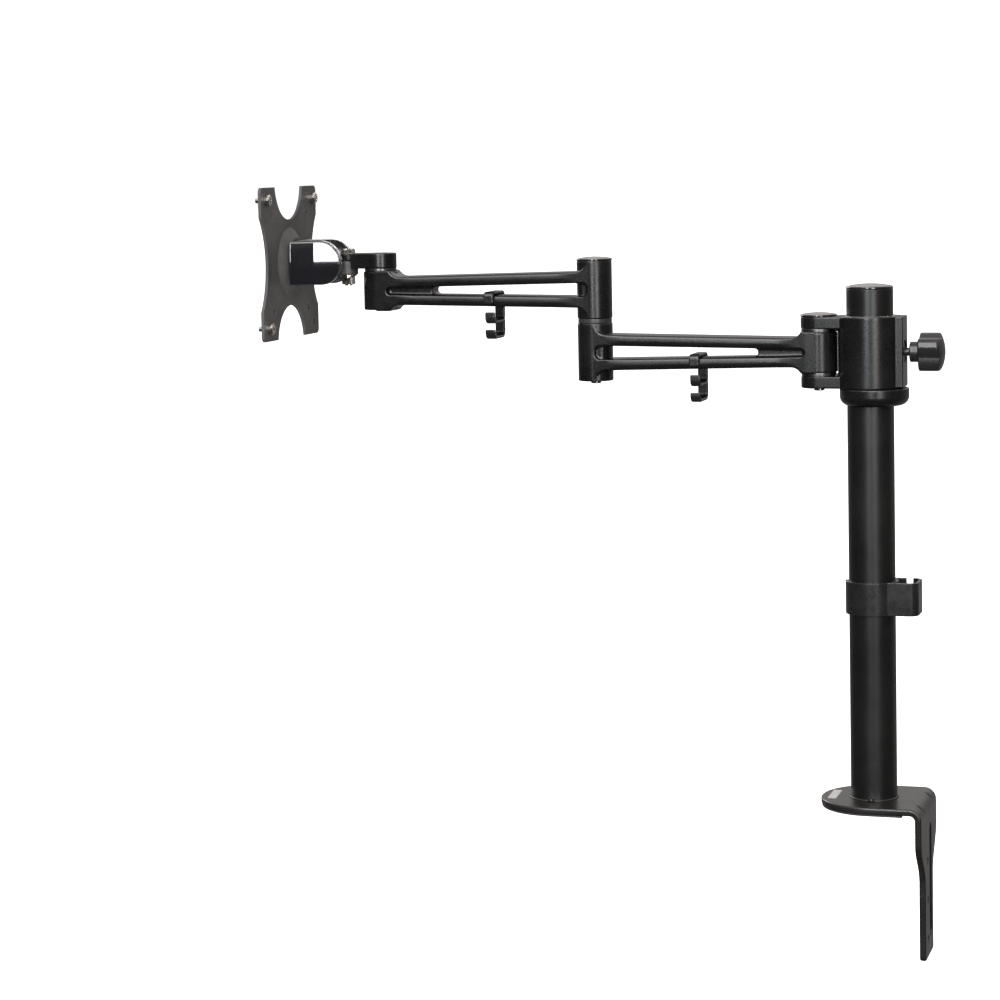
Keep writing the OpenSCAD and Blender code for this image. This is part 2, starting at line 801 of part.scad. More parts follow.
module inner_cable_clip() {
    translate([0, mid_y, arm_z]) bar_clip(1);
}

module outer_cable_clip() {
    translate([0, mid_y, outer_z]) bar_clip(-1);
}

desk_bracket();
desk_pad();
pole();
pole_cap();
pole_weld();
rating_label();
pole_cable_clip();
support_collar();
collar_screw();
pole_sleeve();
sleeve_liner();
clevis_bolt();
clevis_nut();
clevis_cap();
brake_pad();
knob_screw();
lock_knob();
inner_link();
inner_bushes();
clevis_washers();
middle_bolt();
middle_nut();
middle_washer();
outer_link();
middle_cap();
middle_bushes();
end_bushes();
tongue();
end_bolt();
end_nut();
end_washer();
swivel_bolt();
swivel_nut();
swivel_washer();
tilt_block();
tilt_bolt();
tilt_nut();
yoke_bracket();
yoke_cover_right();
yoke_cover_left();
friction_disc();
mounting_plate();
plate_bolt();
plate_screws();
inner_cable_clip();
outer_cable_clip();
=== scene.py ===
"""Looks of the desk-mounted monitor arm: smooth pieces, procedural materials, lights and camera."""

import json
import math

import bmesh
import bpy
import numpy as np
from mathutils import Matrix, Vector


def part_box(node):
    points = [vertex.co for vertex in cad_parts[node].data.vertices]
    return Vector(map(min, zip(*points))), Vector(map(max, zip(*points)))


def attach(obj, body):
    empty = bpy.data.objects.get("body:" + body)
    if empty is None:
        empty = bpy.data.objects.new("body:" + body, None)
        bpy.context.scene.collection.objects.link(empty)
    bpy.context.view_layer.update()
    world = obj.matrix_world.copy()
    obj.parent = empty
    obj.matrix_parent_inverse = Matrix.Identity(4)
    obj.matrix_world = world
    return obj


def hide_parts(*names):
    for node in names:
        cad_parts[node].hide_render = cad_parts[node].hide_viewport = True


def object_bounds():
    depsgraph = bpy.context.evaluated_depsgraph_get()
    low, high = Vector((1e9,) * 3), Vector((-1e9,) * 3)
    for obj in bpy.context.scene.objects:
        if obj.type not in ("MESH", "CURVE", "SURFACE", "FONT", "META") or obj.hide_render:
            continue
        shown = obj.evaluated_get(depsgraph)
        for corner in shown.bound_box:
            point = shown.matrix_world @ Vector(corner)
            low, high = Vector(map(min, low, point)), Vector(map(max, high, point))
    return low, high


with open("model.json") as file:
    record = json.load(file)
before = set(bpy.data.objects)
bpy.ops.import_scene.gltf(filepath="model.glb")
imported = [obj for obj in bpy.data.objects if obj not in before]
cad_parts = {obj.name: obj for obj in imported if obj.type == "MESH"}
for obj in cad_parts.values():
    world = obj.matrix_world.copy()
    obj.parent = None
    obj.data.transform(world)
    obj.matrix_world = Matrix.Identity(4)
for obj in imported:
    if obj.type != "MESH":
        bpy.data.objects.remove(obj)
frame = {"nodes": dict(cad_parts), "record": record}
cad_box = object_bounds()
NODES = frame["nodes"]
BODY_OF = {n: b for b, ns in frame["record"]["behaviour"]["bodies"].items() for n in ns}
SLOT_OF = {s["node"]: s["material_slot"] for s in frame["record"]["subparts"]}
MM = 0.001

# The part's main positions in millimetres: the upright pivots' and the tilt bolt's y, the middle
# heights of the two links (the clamp screw is level with the lower one) and the tilt bolt's height.
CLEVIS_Y, MID_Y, END_Y, SWIVEL_Y, TILT_Y = -38.75, -212.75, -386.75, -413.75, -431.75
ARM_Z, OUTER_Z, TILT_Z = 345.0, 393.25, 416.0
LINK = 174  # a link's length between its pivots
EYE_R = 13.5  # the radius of the castings round the upright pivots
BOLT_R, HEAD_R, NUT_FLATS = 4, 7.2, 13.2  # the pivot bolts' bores, and the pockets at their ends
BUSH_R = 5.5  # the bores that the pivots' bushes sit in
POLE_R = 17.5
SLEEVE_LOW, SLEEVE_TOP = 318, 372
NOISE_LOW, NOISE_HIGH = 0.3, 0.7  # most of a noise texture's values lie between these


# ---------- materials ----------


class Tree:
    """Adds nodes and links to one node tree."""

    def __init__(self, tree):
        self.tree = tree

    def add(self, kind, values=None, **settings):
        """A new node, with its settings and the values of its inputs."""
        node = self.tree.nodes.new(kind)
        for key, value in settings.items():
            setattr(node, key, value)
        for key, value in (values or {}).items():
            node.inputs[key].default_value = value
        return node

    def link(self, a, b):
        self.tree.links.new(a, b)

    def add_up(self, a, b):
        node = self.add("ShaderNodeMath", operation="ADD")
        self.link(a, node.inputs[0])
        self.link(b, node.inputs[1])
        return node.outputs[0]

    def map_range(self, value, start, stop, low, high, **settings):
        """Maps the range start-stop of a value to low-high."""
        ends = {"From Min": start, "From Max": stop, "To Min": low, "To Max": high}
        node = self.add("ShaderNodeMapRange", ends, **settings)
        self.link(value, node.inputs["Value"])
        return node.outputs["Result"]


class Material(Tree):
    """A new material, with the textures that the looks are made of."""

    def __init__(self, name):
        self.mat = bpy.data.materials.new(name)
        self.mat.use_nodes = True
        super().__init__(self.mat.node_tree)
        self.bsdf = self.tree.nodes["Principled BSDF"]
        self.coord = self.add("ShaderNodeTexCoord").outputs["Object"]

    def stretched(self, scale):
        """Object coordinates multiplied by scale along each axis."""
        mapping = self.add("ShaderNodeMapping", {"Scale": scale})
        self.link(self.coord, mapping.inputs["Vector"])
        return mapping.outputs["Vector"]

    def noise(self, scale, detail=3.0, rough=0.55, vector=None):
        values = {"Scale": scale, "Detail": detail, "Roughness": rough}
        node = self.add("ShaderNodeTexNoise", values)
        self.link(vector or self.coord, node.inputs["Vector"])
        return node.outputs["Fac"]

    def span(self, noise, low, high):
        """Maps a noise texture's usual values to low-high."""
        return self.map_range(noise, NOISE_LOW, NOISE_HIGH, low, high)

    def ramp(self, noise, colours):
        """Colours at equal steps along a noise texture's usual values."""
        node = self.add("ShaderNodeValToRGB")
        elements = node.color_ramp.elements
        while len(elements) < len(colours):
            elements.new(0.5)
        for i, c in enumerate(colours):
            elements[i].position = NOISE_LOW + (NOISE_HIGH - NOISE_LOW) * i / (len(colours) - 1)
            elements[i].color = (*c, 1.0)
        self.link(noise, node.inputs["Fac"])
        return node.outputs["Color"]

    def bump(self, height, strength, distance, normal=None):
        node = self.add("ShaderNodeBump", {"Strength": strength, "Distance": distance})
        self.link(height, node.inputs["Height"])
        if normal is not None:
            self.link(normal, node.inputs["Normal"])
        return node.outputs["Normal"]

    def finish(self, colour, roughness, normal, metallic=0.0, **sockets):
        b = self.bsdf.inputs
        self.link(colour, b["Base Color"])
        self.link(roughness, b["Roughness"])
        self.link(normal, b["Normal"])
        b["Metallic"].default_value = metallic
        for key, value in sockets.items():
            b[key.replace("_", " ")].default_value = value
        return self.mat


def grey(v, tint=(1.0, 1.0, 1.0)):
    return tuple(v * t for t in tint)


def shades(base, factors, tint):
    return [grey(base * f, tint) for f in factors]


def powder_coat(name, base, rough, grain, height, tint=(1.0, 1.0, 1.02)):
    """Painted metal: fine orange peel, faint blotches and a slightly uneven sheen."""
    n = Material(name)
    blotch = n.noise(38.0, 4.0)
    colour = n.ramp(blotch, shades(base, (0.75, 1, 1.3), tint))
    dust = n.noise(260.0, 5.0, 0.7)
    roughness = n.add_up(n.span(blotch, rough - 0.03, rough + 0.03), n.span(dust, -0.02, 0.03))
    peel = n.bump(n.noise(grain, 2.0), 0.35, height)
    fine = n.bump(n.noise(grain * 3.1, 2.0), 0.2, height * 0.4, peel)
    return n.finish(colour, roughness, fine, IOR=1.5, Specular_IOR_Level=0.5)


def moulded(name, base, rough, coat=0.0, texture=900.0, height=4e-6, tint=(1.0, 1.0, 1.05)):
    """Moulded black plastic: nearly even, with faint flow marks and fine dust in its gloss."""
    n = Material(name)
    flow = n.noise(22.0, 3.0, vector=n.stretched((1.0, 1.0, 2.5)))
    colour = n.ramp(flow, shades(base, (0.8, 1, 1.2), tint))
    smear = n.noise(70.0, 5.0, 0.65)
    roughness = n.span(smear, rough * 0.8, rough * 1.35)
    normal = n.bump(n.noise(texture, 2.0), 0.25, height)
    return n.finish(colour, roughness, normal, IOR=1.5, Coat_Weight=coat, Coat_Roughness=0.04)


def plated(name, base, rough, streak=(1.0, 1.0, 1.0), height=3e-6, tint=(0.99, 1.0, 1.02)):
    """Plated or brushed metal with fine streaks and slightly duller patches."""
    n = Material(name)
    lines = n.noise(420.0, 4.0, 0.6, n.stretched(streak))
    patch = n.noise(90.0, 3.0)
    colour = n.ramp(patch, shades(base, (0.86, 1, 1.08), tint))
    roughness = n.add_up(n.span(lines, -0.02, 0.04), n.span(patch, rough * 0.8, rough * 1.3))
    return n.finish(colour, roughness, n.bump(lines, 0.2, height), metallic=1.0)


def rubber(name):
    """Matte rubber with a fine cross-hatched tread."""
    n = Material(name)
    grid = n.add("ShaderNodeMath", operation="MULTIPLY")
    for i, direction in enumerate("XY"):
        values = {"Scale": 110.0, "Distortion": 0.0}
        wave = n.add("ShaderNodeTexWave", values, bands_direction=direction)
        n.link(n.coord, wave.inputs["Vector"])
        n.link(wave.outputs["Fac"], grid.inputs[i])
    dust = n.noise(150.0, 5.0, 0.7)
    colour = n.ramp(dust, [grey(0.010), grey(0.014), grey(0.022)])
    normal = n.bump(grid.outputs[0], 0.4, 1.5e-4)
    return n.finish(colour, n.span(dust, 0.7, 0.9), normal)


def foil(name):
    """Matte silver label foil with faint rolled lines."""
    n = Material(name)
    lines = n.noise(240.0, 3.0, 0.6, n.stretched((1.0, 14.0, 1.0)))
    colour = n.ramp(lines, [(0.46, 0.45, 0.46), (0.52, 0.51, 0.52), (0.57, 0.56, 0.56)])
    return n.finish(colour, n.span(lines, 0.38, 0.5), n.bump(lines, 0.15, 1e-5), metallic=0.7)


MATS = {
    "bracket_paint": powder_coat("bracket_paint", 0.006, 0.3, 1500.0, 0.8e-5, (1.1, 1.0, 0.96)),
    "pole_paint": powder_coat("pole_paint", 0.003, 0.34, 2200.0, 0.7e-5, (1.03, 1.0, 0.99)),
    "casting_paint": powder_coat("casting_paint", 0.003, 0.27, 1500.0, 0.5e-5),
    "plate_paint": powder_coat("plate_paint", 0.036, 0.55, 1900.0, 1.6e-5, (1.07, 1.0, 1.0)),
    "block_steel": powder_coat("block_steel", 0.02, 0.4, 2600.0, 0.8e-5),
    "black_steel": powder_coat("black_steel", 0.012, 0.32, 2600.0, 0.8e-5),
    "washer_black": powder_coat("washer_black", 0.016, 0.3, 2600.0, 0.8e-5),
    "gloss_black": moulded("gloss_black", 0.006, 0.12, coat=0.6),
    "cover_gloss": moulded("cover_gloss", 0.005, 0.07, coat=1.0, tint=(0.95, 1.0, 1.25)),
    "knob_plastic": moulded("knob_plastic", 0.008, 0.27, coat=0.1),
    "clip_plastic": moulded("clip_plastic", 0.006, 0.26, texture=1600.0, height=5e-6),
    "disc_plastic": moulded("disc_plastic", 0.012, 0.45, texture=1600.0, height=8e-6),
    "nylon": moulded("nylon", 0.55, 0.45, texture=1400.0, height=6e-6, tint=(1.0, 1.0, 0.96)),
    "zinc_steel": plated("zinc_steel", 0.34, 0.12),
    "washer_steel": plated("washer_steel", 0.12, 0.3, (1.0, 1.0, 6.0)),
    "chrome": plated("chrome", 0.7, 0.08, height=2e-5, tint=(1.04, 1.0, 0.95)),
    "yoke_chrome": plated("yoke_chrome", 0.66, 0.1, height=1e-6),
    "pad_rubber": rubber("pad_rubber"),
    "label_foil": foil("label_foil"),
}


# ---------- pieces ----------


def cleaned(node):
    """A copy of a CAD node's mesh with its split vertices joined and flat areas merged."""
    bm = bmesh.new()
    bm.from_mesh(NODES[node].data)
    bmesh.ops.remove_doubles(bm, verts=bm.verts, dist=2e-6)
    bmesh.ops.dissolve_limit(
        bm, angle_limit=math.radians(0.4), verts=bm.verts, edges=bm.edges, delimit={"NORMAL"}
    )
    bmesh.ops.recalc_face_normals(bm, faces=bm.faces)
    return bm


def stand_in(mesh, name, node):
    """An object that shows mesh in place of a CAD node, on its body and in its material."""
    obj = bpy.data.objects.new(name, mesh)
    bpy.context.scene.collection.objects.link(obj)
    slot = SLOT_OF[node]
    mesh.materials.append(MATS[slot])
    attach(obj, BODY_OF[node])
    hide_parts(node)
    return obj


def smooth(mesh):
    for p in mesh.polygons:
        p.use_smooth = True


def finish_piece(bm, name, node):
    """Turns a bmesh into a smooth-shaded piece that stands for its CAD node."""
    mesh = bpy.data.meshes.new(name)
    bm.to_mesh(mesh)
    bm.free()
    smooth(mesh)
    return stand_in(mesh, name, node)


# Degrees by which the plated hexagons on the swivel are turned about its axis.
HEX_TURN = {"swivel_bolt": -9.0, "swivel_nut": 13.0}
BEVEL_ANGLE = 28.0  # degrees; flatter edges stay as they are


def bevelled(node, width, segments):
    """The CAD shape with rounded edges, for a piece whose form is right but too sharp."""
    bm = cleaned(node)
    if node in HEX_TURN:
        centre = Matrix.Translation((0.0, SWIVEL_Y * MM, 0.0))
        turn = Matrix.Rotation(math.radians(HEX_TURN[node]), 4, "Z")
        bm.transform(centre @ turn @ centre.inverted())
    obj = finish_piece(bm, node + "_look", node)
    mod = obj.modifiers.new("edges", "BEVEL")
    mod.width = width
    mod.segments = segments
    mod.limit_method = "ANGLE"
    mod.angle_limit = math.radians(BEVEL_ANGLE)
    mod.use_clamp_overlap = True
    mod.harden_normals = True
    mod.miter_outer = "MITER_ARC"
    weighted = obj.modifiers.new("normals", "WEIGHTED_NORMAL")
    weighted.keep_sharp = True
    weighted.weight = 60


# The width in millimetres and the segments of each rounded edge.
EDGES = {
    "desk_pad": (0.3, 2), "pole": (0.4, 2), "rating_label": (0.06, 1), "pole_cable_clip": (0.5, 3),
    "collar_screw": (0.25, 2), "clevis_bolt": (0.3, 2), "clevis_nut": (0.25, 2),
    "knob_screw": (0.3, 2), "clevis_washers": (0.3, 2), "middle_bolt": (0.3, 2),
    "middle_nut": (0.25, 2), "middle_washer": (0.4, 2), "end_bolt": (0.3, 2), "end_nut": (0.2, 2),
    "end_washer": (0.3, 2), "swivel_bolt": (0.25, 2), "swivel_nut": (0.25, 2),
    "swivel_washer": (0.2, 2), "tilt_bolt": (0.25, 2), "tilt_nut": (0.2, 2),
    "yoke_bracket": (0.5, 3), "friction_disc": (0.3, 2), "mounting_plate": (0.45, 2),
    "plate_bolt": (0.3, 2), "plate_screws": (0.3, 3),
}
for node, (width, segments) in EDGES.items():
    bevelled(node, width * MM, segments)


def weld_bead():
    """The weld at the pole's foot: a ring of overlapping ripples with one larger bead."""
    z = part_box("pole_weld")[0].z
    r = POLE_R * MM
    size, top = 1.35 * MM, 4.4 * MM
    around, across = 288, 8
    lump_at, lump_width, lump_size = 0.04, 0.09, 1.3 * MM
    bm = bmesh.new()
    rings = []
    for i in range(around):
        a = 2 * math.pi * i / around
        ripple = 1 + 0.13 * abs(math.sin(a * 26)) + 0.06 * math.sin(a * 7 + 1.3)
        turned = (a + math.pi) % (2 * math.pi) - math.pi
        lump = math.exp(-(((turned - lump_at) / lump_width) ** 2))
        s = size * (0.82 * ripple) + lump_size * lump
        s_up = min(s * (1 + 0.25 * lump), top)
        ring = []
        for j in range(across + 1):
            t = math.pi / 2 * j / across
            out = s * math.cos(t) ** 0.85 if j < across else 0.0
            up = s_up * math.sin(t) ** 0.85 if j else 0.0
            rr = r + out
            ring.append(bm.verts.new((rr * math.cos(a), rr * math.sin(a), z + up)))
        ring.append(bm.verts.new((r * math.cos(a), r * math.sin(a), z)))
        rings.append(ring)
    for i in range(around):
        a, b = rings[i], rings[(i + 1) % around]
        for j in range(len(a)):
            k = (j + 1) % len(a)
            bm.faces.new((a[j], b[j], b[k], a[k]))
    bmesh.ops.recalc_face_normals(bm, faces=bm.faces)
    finish_piece(bm, "weld_bead", "pole_weld")


weld_bead()


# ---------- cast and moulded shapes ----------
# Each shape is a function of x, y and z in millimetres that is negative inside the piece.


def hypot3(a, b):
    return np.sqrt(a * a + b * b)


def join(a, b, r):
    """Union with a concave fillet of radius r where the two meet."""
    return np.maximum(r, np.minimum(a, b)) - hypot3(np.maximum(r - a, 0), np.maximum(r - b, 0))


def both(a, b, r):
    """Intersection with its edge rounded to radius r."""
    return np.minimum(-r, np.maximum(a, b)) + hypot3(np.maximum(r + a, 0), np.maximum(r + b, 0))


def cut(a, b, r):
    return both(a, -b, r)


def slab(v, low, high):
    return np.maximum(low - v, v - high)


def prism(d2, along, low, high, r):
    """An outline extruded from low to high, with its end edges rounded."""
    return both(d2, slab(along, low, high), r)


def hexagon(a, b, flat):
    a, b = np.abs(a), np.abs(b)
    return np.maximum(a, 0.5 * a + math.sqrt(0.75) * b) - flat / 2


def isosurface(shape, low, high, step):
    """Vertices, quads and normals of the surface where shape is zero, as an even grid of quads.

    The grid's cells that the surface crosses give a vertex each, which then slides onto it.
    """
    fine, broad = 0.02, 0.12  # distances in mm for the slopes used in sliding and in shading
    axes = [np.arange(low[i] - 1.5 * step, high[i] + 2.5 * step, step) for i in range(3)]
    grid = np.meshgrid(*axes, indexing="ij")
    value = shape(*grid)
    inside = value < 0
    n = inside.shape
    corners = [(i, j, k) for i in (0, 1) for j in (0, 1) for k in (0, 1)]

    def part(a, c):
        return a[tuple(slice(c[i], n[i] - 1 + c[i]) for i in range(3))]

    count = sum(part(inside, c).astype(int) for c in corners)
    active = (count > 0) & (count < 8)
    index = np.full(active.shape, -1)
    index[active] = np.arange(active.sum())
    total = np.zeros((active.sum(), 3))
    hits = np.zeros(active.sum())
    for c in corners:
        for axis in range(3):
            if c[axis]:
                continue
            d = list(c)
            d[axis] = 1
            va, vb = part(value, c)[active], part(value, d)[active]
            cross = (va < 0) != (vb < 0)
            t = np.where(cross, va / np.where(cross, va - vb, 1.0), 0.0)
            point = np.array(c, float) + np.outer(t, np.eye(3)[axis])
            total += point * cross[:, None]
            hits += cross
    cell = np.argwhere(active)
    points = np.array([a[0] for a in axes]) + (cell + total / hits[:, None]) * step
    quads = []
    for axis in range(3):
        u, v = (axis + 1) % 3, (axis + 2) % 3
        sl_a = [slice(1, n[i] - 1) for i in range(3)]
        sl_a[axis] = slice(0, n[axis] - 1)
        sl_b = list(sl_a)
        sl_b[axis] = slice(1, n[axis])
        a, b = inside[tuple(sl_a)], inside[tuple(sl_b)]
        for flip, where in ((False, a & ~b), (True, ~a & b)):
            at = np.argwhere(where)
            at[:, u] += 1
            at[:, v] += 1
            ring = []
            for du, dv in ((-1, -1), (0, -1), (0, 0), (-1, 0)):
                c = at.copy()
                c[:, u] += du
                c[:, v] += dv
                ring.append(index[c[:, 0], c[:, 1], c[:, 2]])
            ring = np.stack(ring[::-1] if flip else ring, 1)
            quads.append(ring)

    def gradient(p, h):
        g = np.stack(
            [(shape(*(p + h * e).T) - shape(*(p - h * e).T)) / (2 * h) for e in np.eye(3)], 1
        )
        return g, np.maximum(np.linalg.norm(g, axis=1, keepdims=True), 1e-6)

    for _ in range(4):
        g, size = gradient(points, fine)
        move = shape(*points.T)[:, None] * g / size**2
        length = np.maximum(np.linalg.norm(move, axis=1, keepdims=True), 1e-9)
        points = points - move * np.minimum(1.0, 0.4 * step / length)
    g, size = gradient(points, broad)
    return points, np.concatenate(quads), g / size


def cast(name, node, shape, low, high, step):
    """A smooth piece from a shape function, standing for its CAD node."""
    points, quads, normals = isosurface(shape, low, high, step)
    mesh = bpy.data.meshes.new(name)
    mesh.from_pydata((points * MM).tolist(), [], quads.tolist())
    mesh.update()
    smooth(mesh)
    mesh.normals_split_custom_set_from_vertices(normals.tolist())
    stand_in(mesh, name, node)


def circle(a, b, r):
    return hypot3(a, b) - r


# A link's openings, in mm from its column: where both start and half their height there, then where
# the one right through and the pocket around it end, with their heights there.
GAP_START, GAP_HALF = 7, 5
THROUGH, POCKET = (126, 6), (162, 6.2)


def window(y, z, y_end, h_end):
    """A link's opening, which narrows from GAP_START to y_end."""
    t = np.clip((y - GAP_START) / (y_end - GAP_START), 0, 1)
    wall = np.abs(z) - (GAP_HALF + (h_end / 2 - GAP_HALF) * t)
    return both(both(wall, 3 - y, 3.8), y - y_end - h_end / 2, h_end / 2 - 0.1)


def bars_half(y):
    """Half the height over a link's two bars, at y from its column."""
    return 14 - 3.25 * np.clip(y, 0, LINK) / LINK


def gap_half(y):
    """Half the height of the gap between the bars."""
    return GAP_HALF - 2 * np.clip((y - GAP_START) / (THROUGH[0] - GAP_START), 0, 1)


def link(x, y, z, upper):
    """A link casting with its column on the origin and its knuckle at y = LINK."""
    column_half, knuckle_half = 22.25, 15
    knuckle_r = EYE_R if upper else 14.1
    half, opening = bars_half(y), gap_half(y)
    bars = both(np.abs(z) - half, slab(y, -2, LINK + 2), 0.2)
    side = join(bars, both(slab(y, -4, 3.2), np.abs(z) - 22.2, 0.2), 8.6)
    side = join(side, both(slab(y, 163.5, 178), np.abs(z) - 14.9, 0.2), 9.0)
    # The bars' faces curve in by crown towards their edges, except near the ends.
    across = np.clip((2 * np.abs(z) - half - opening) / (half - opening), -1, 1)
    crown = 1.35 * across**2 * np.clip(np.minimum((y - 12) / 14, (158 - y) / 14), 0, 1)
    face = 13.45 + (0.05 if upper else 0.62) * np.clip((y - 146) / 20, 0, 1)
    body = both(side, np.abs(x) - face + crown, 1.5)
    body = np.maximum(body, slab(y, 0, LINK))
    through = window(y, z, *THROUGH)
    body = cut(body, through, 1.3)
    pocket = both(window(y, z, *POCKET), 8.6 - np.abs(x), 2.2)
    body = cut(body, pocket, 0.9)
    column = both(circle(x, y, EYE_R), np.abs(z) - column_half, 0.7)
    knuckle = both(circle(x, y - LINK, knuckle_r), np.abs(z) - knuckle_half, 0.8)
    body = np.minimum(np.minimum(body, column), knuckle)
    body = cut(body, both(through, 10.8 - np.abs(x), 1.2), 0.7)
    if upper:
        body = cut(body, both(circle(x, y, HEAD_R), 16.65 - z, 0.2), 0.3)
        body = cut(body, circle(x, y, BUSH_R), 0.2)
        body = cut(body, circle(x, y - LINK, BUSH_R), 0.2)
        return cut(body, both(circle(x, y - LINK, 8), z + 11, 0.2), 0.3)
    body = cut(body, circle(x, y, BOLT_R), 0.2)
    body = cut(body, both(hexagon(x, y, NUT_FLATS), z + 15.75, 0.2), 0.3)
    return cut(body, circle(x, y - LINK, BUSH_R), 0.2)


cast("inner_link_cast", "inner_link",
     lambda x, y, z: link(x, y - MID_Y, z - ARM_Z, False),
     (-14.1, MID_Y - 13.5, ARM_Z - 22.3), (14.1, CLEVIS_Y + 14.1, ARM_Z + 22.3), 0.9)
cast("outer_link_cast", "outer_link",
     lambda x, y, z: link(x, MID_Y - y, z - OUTER_Z, True),
     (-13.5, END_Y - 13.5, OUTER_Z - 22.3), (13.5, MID_Y + 13.5, OUTER_Z + 22.3), 0.9)


def bracket(x, y, z):
    """The bent bracket: a round-ended plate, a bend and a leg that narrows downwards."""
    bend_y, bend_z = 32.5, -2.5
    middle_r, half_t = 6.5, 2.5  # the bend's radius to the middle of the sheet, half its thickness
    wide, taper_z, taper = 40, -20, 34  # half the plate's width; where the leg's taper is
    r = hypot3(np.maximum(y - bend_y, 0), np.maximum(z - bend_z, 0))
    sheet = np.abs(r - middle_r) - half_t
    plan = np.where(y < 0, hypot3(x, y), np.abs(x)) - wide
    t = np.clip((taper_z - z) / taper, 0, 1)
    half = wide - 10 * (1 - np.cos(np.pi * t))
    slope = 10 * np.pi / taper * np.sin(np.pi * t)
    leg = both((np.abs(x) - half) / hypot3(1.0, slope), -114 - z, 3.0)
    body = both(sheet, np.maximum(plan, leg), 1.3)
    holes = hypot3(x + 6.5, z - np.clip(z, -96, -18.5)) - 5
    for hole_z in (-39.5, -69.5, -99.5):
        holes = np.minimum(holes, circle(x - 8, z - hole_z, 2.75))
    body = cut(body, both(holes, 30 - y, 0.1), 0.5)
    across, along = (y + z - 45.2) / 2**0.5, (z - y + 35) / 2**0.5
    dimple = both(circle(np.abs(x) - 22, across, 3), np.abs(along) - 7, 2.5)
    return cut(body, dimple, 0.6)


cast("bracket_bend", "desk_bracket", bracket, (-40, -40, -114), (40, 41.5, 6.5), 0.9)


def sleeve(x, y, z):
    """The clamp sleeve with its two ears and the boss for the clamp screw."""
    barrel = circle(x, y, 24)
    tube = prism(barrel, z, SLEEVE_LOW, SLEEVE_TOP, 0.9)
    bridge = both(np.abs(x) - EYE_R, slab(y, CLEVIS_Y, -8), 0.1)
    ears = np.minimum(circle(x, y - CLEVIS_Y, EYE_R), bridge)
    ears = prism(ears, z, SLEEVE_LOW, SLEEVE_TOP, 1.0)
    ears = cut(ears, both(slab(z, 327, 363), -barrel, 2.2), 0.8)
    lips = both(np.abs(x) - 9, slab(y, -25.0, -20), 0.1)
    lips = both(lips, np.minimum(slab(z, 326, 329.1), slab(z, 360.9, 364)), 0.1)
    boss = np.maximum(both(np.abs(x) - 12, y - 26.3, 0.9), -y)
    boss = prism(boss, z, 318.8, SLEEVE_TOP, 0.9)
    body = np.minimum(join(tube, np.maximum(boss, 17 - y), 0.6), ears)
    body = np.minimum(np.minimum(body, tube), lips)
    body = cut(body, circle(x, y, 18.5), 0.5)
    pivot = circle(x, y - CLEVIS_Y, BOLT_R)
    pivot = np.minimum(pivot, both(circle(x, y - CLEVIS_Y, HEAD_R), 366.5 - z, 0.2))
    pivot = np.minimum(pivot, both(hexagon(x, y - CLEVIS_Y, NUT_FLATS), z - 323.5, 0.2))
    body = cut(body, pivot, 0.3)
    screw = both(circle(x, z - ARM_Z, 3.05), slab(y, 0, 40), 0.1)
    recess = both(circle(x, z - ARM_Z, 8.8), 25.3 - y, 0.1)
    return cut(cut(body, screw, 0.3), recess, 0.4)


cast("sleeve_cast", "pole_sleeve", sleeve, (-24, -52.3, SLEEVE_LOW), (24, 26.3, SLEEVE_TOP), 0.9)


def collar(x, y, z):
    """The ring under the sleeve, rounded at its lower outside edge."""
    ring = both(both(circle(x, y - 3, 25.9), 305 - z, 7.0), z - 317.95, 0.7)
    body = cut(ring, circle(x, y, 17.55), 0.5)
    return cut(body, both(circle(y, z - 313, 3), x, 0.1), 0.3)


cast("collar_cast", "support_collar", collar, (-26, -23, 305), (26, 29, 318), 0.9)


def tongue_shape(x, y, z):
    """The flat arm between the outer link and the tilt block, stepped over the block."""
    low, top, step_z = 410.75, 422.75, 416.95
    ring = circle(x, y - END_Y, 12.7)
    lug = circle(x, y - SWIVEL_Y, 7.8)
    t = np.clip((END_Y - y) / (END_Y - SWIVEL_Y), 0, 1)
    neck = (np.abs(x) - (12.5 - 4.8 * t)) * 0.984
    plan = np.minimum(np.minimum(ring, lug), both(neck, slab(y, SWIVEL_Y, END_Y), 0.1))
    body = prism(plan, z, low, top, 0.9)
    step = np.minimum(circle(x, y - SWIVEL_Y, 9.4), y - SWIVEL_Y)
    body = cut(body, both(step, z - step_z, 0.1), 0.6)
    body = cut(body, circle(x, y - END_Y, BOLT_R), 0.2)
    body = cut(body, both(circle(x, y - END_Y, 6.8), 417.75 - z, 0.2), 0.5)
    return cut(body, circle(x, y - SWIVEL_Y, 3), 0.2)


cast("tongue_cast", "tongue", tongue_shape, (-12.7, -421.6, 410.7), (12.7, -374, 422.8), 0.7)


def block(x, y, z):
    """The tilt block: a lug on the swivel bolt and a cross barrel for the tilt bolt."""
    half, lug_half, bore_r = 11.8, 7.8, 3.05
    barrel = prism(circle(y - TILT_Y, z - TILT_Z, 9), x, -half, half, 0.8)
    post = circle(x, y - SWIVEL_Y, lug_half)
    web = both(np.abs(x) - lug_half, slab(y, TILT_Y, SWIVEL_Y), 0.1)
    lug = prism(np.minimum(post, web), z, 405.85, 416.85, 0.7)
    body = join(barrel, lug, 1.2)
    body = np.maximum(body, np.abs(x) - half)
    body = cut(body, circle(x, y - SWIVEL_Y, bore_r), 0.3)
    return cut(body, circle(y - TILT_Y, z - TILT_Z, bore_r), 0.3)


cast("tilt_block_cast", "tilt_block", block, (-11.8, -440.8, 405.8), (11.8, -405.9, 425), 0.6)


